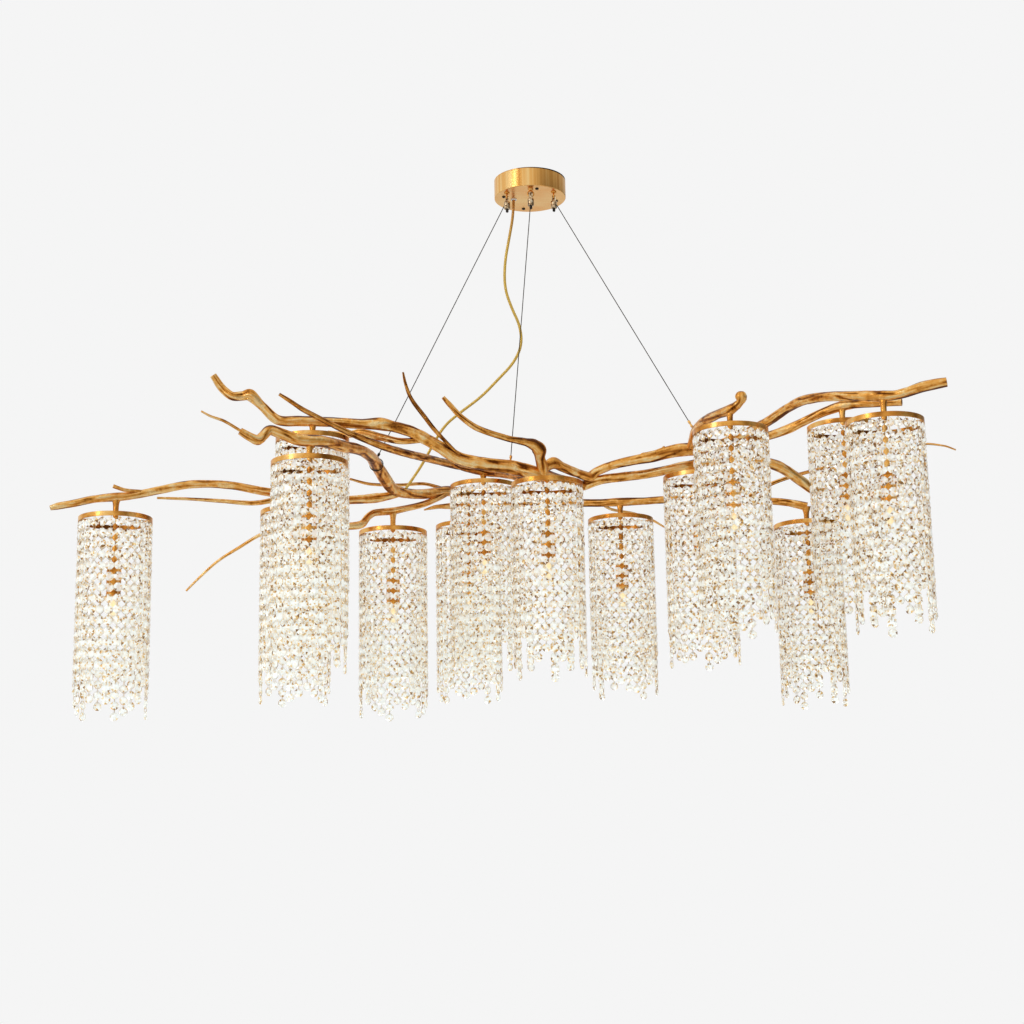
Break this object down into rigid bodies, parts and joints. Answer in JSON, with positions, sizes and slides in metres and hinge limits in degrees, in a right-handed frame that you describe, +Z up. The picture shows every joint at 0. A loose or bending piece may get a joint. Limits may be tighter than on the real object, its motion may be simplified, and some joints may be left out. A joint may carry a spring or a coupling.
{
  "type": "branch chandelier",
  "caption": "Long gold branch chandelier: bead-strand shades hang under cast branches, held by three steel wires and a lead from a round ceiling canopy.",
  "frame": {"origin": "middle of the bracket's ceiling face, between its two fixing slots", "axes": "+X along the branches to the right, +Y to the back, +Z up into the ceiling"},
  "size_m": [1.5491, 0.7301, 0.9565],
  "materials": {
    "satin_gold": "satin",
    "crystal": "cut and polished",
    "bulb_glass": "clear",
    "dark_steel": "satin black",
    "nickel": "plated",
    "steel_wire": "stranded",
    "zinc_plate": "zinc plated",
    "white_plastic": "moulded",
    "grommet_plastic": "moulded",
    "clear_gold_lead": "clear sheath"
  },
  "bodies": {
    "canopy": {"canopy_cup": "satin_gold", "ceiling_bracket": "zinc_plate", "canopy_screws": "dark_steel", "terminal_block": "white_plastic", "eye_studs": "nickel", "cord_grommet": "grommet_plastic"},
    "hanging_frame": {"branch_ball_tip": "satin_gold", "branch_far_left": "satin_gold", "branch_front_low": "satin_gold", "branch_high_right": "satin_gold", "branch_knee": "satin_gold", "branch_lower_left": "satin_gold", "branch_lower_right": "satin_gold", "branch_middle_left": "satin_gold", "branch_middle_right": "satin_gold", "branch_rear_long": "satin_gold", "branch_right_spine": "satin_gold", "branch_upper_left": "satin_gold", "bulbs": "bulb_glass", "lamp_holders": "satin_gold", "lamp_stems": "satin_gold", "power_cord": "clear_gold_lead", "ring_01": "satin_gold", "ring_02": "satin_gold", "ring_03": "satin_gold", "ring_04": "satin_gold", "ring_05": "satin_gold", "ring_06": "satin_gold", "ring_07": "satin_gold", "ring_08": "satin_gold", "ring_09": "satin_gold", "ring_10": "satin_gold", "ring_11": "satin_gold", "ring_12": "satin_gold", "ring_13": "satin_gold", "ring_14": "satin_gold", "strands_01": "crystal", "strands_02": "crystal", "strands_03": "crystal", "strands_04": "crystal", "strands_05": "crystal", "strands_06": "crystal", "strands_07": "crystal", "strands_08": "crystal", "strands_09": "crystal", "strands_10": "crystal", "strands_11": "crystal", "strands_12": "crystal", "strands_13": "crystal", "strands_14": "crystal", "twigs": "satin_gold", "wire_centre": "steel_wire", "wire_ferrules": "nickel", "wire_grippers": "nickel", "wire_left": "steel_wire", "wire_right": "steel_wire"},
    "nose_centre": {"gripper_nose_centre": "dark_steel"},
    "nose_left": {"gripper_nose_left": "dark_steel"},
    "nose_right": {"gripper_nose_right": "dark_steel"}
  },
  "joints": [
    {"name": "frame_sway", "type": "hinge", "parent": "canopy", "child": "hanging_frame", "pos_m": [0, -0.03, -0.04386], "axis": [1, 0, 0], "range_deg": [-3, 3]},
    {"name": "nose_centre_press", "type": "slide", "parent": "hanging_frame", "child": "nose_centre", "axis": [0, 0, 1], "range_m": [0, 0.002], "stiffness_N_per_m": 600, "springref_m": -0.003},
    {"name": "nose_left_press", "type": "slide", "parent": "hanging_frame", "child": "nose_left", "axis": [0, 0, 1], "range_m": [0, 0.002], "stiffness_N_per_m": 600, "springref_m": -0.003},
    {"name": "nose_right_press", "type": "slide", "parent": "hanging_frame", "child": "nose_right", "axis": [0, 0, 1], "range_m": [0, 0.002], "stiffness_N_per_m": 600, "springref_m": -0.003}
  ]
}
